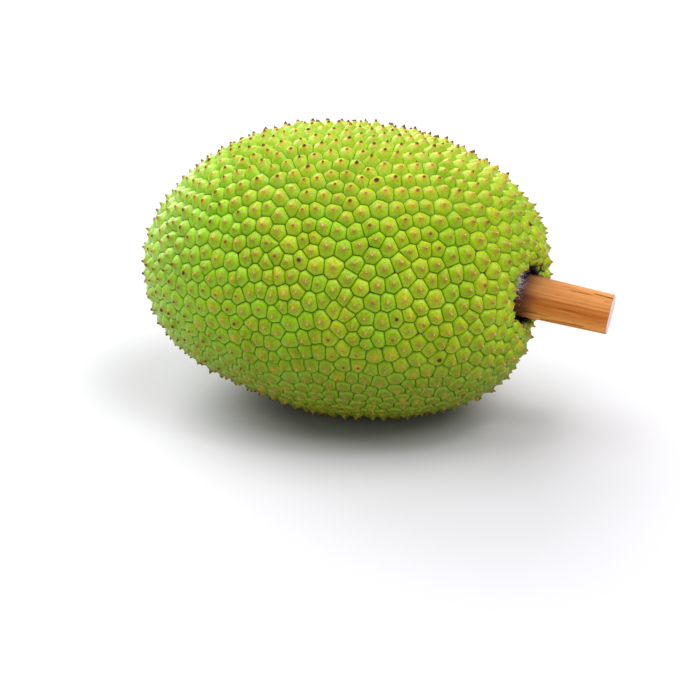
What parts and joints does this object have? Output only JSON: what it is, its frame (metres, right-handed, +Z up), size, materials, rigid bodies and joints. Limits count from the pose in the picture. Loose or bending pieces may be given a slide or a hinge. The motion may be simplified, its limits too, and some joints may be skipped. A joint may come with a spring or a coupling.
{
  "type": "breadfruit",
  "caption": "Whole breadfruit lying on its side, an oval green fruit with a rind of spiny cells and a short length of cut stem.",
  "frame": {"origin": "middle of the flat spot that the fruit rests on, under its widest part", "axes": "+X along the fruit towards its stem, +Z up, and +Y across to complete a right-handed frame"},
  "size_m": [0.2242, 0.1408, 0.1357],
  "materials": {
    "rind": "fresh bright green rind with a satin sheen, yellow-green cells, darker grooves and brown spine tips",
    "stem_wood": "bare tan stem wood with long fibres, dark at its foot and pale at the cut"
  },
  "bodies": {
    "root": {"fruit": "rind", "stem": "stem_wood"}
  },
  "joints": []
}
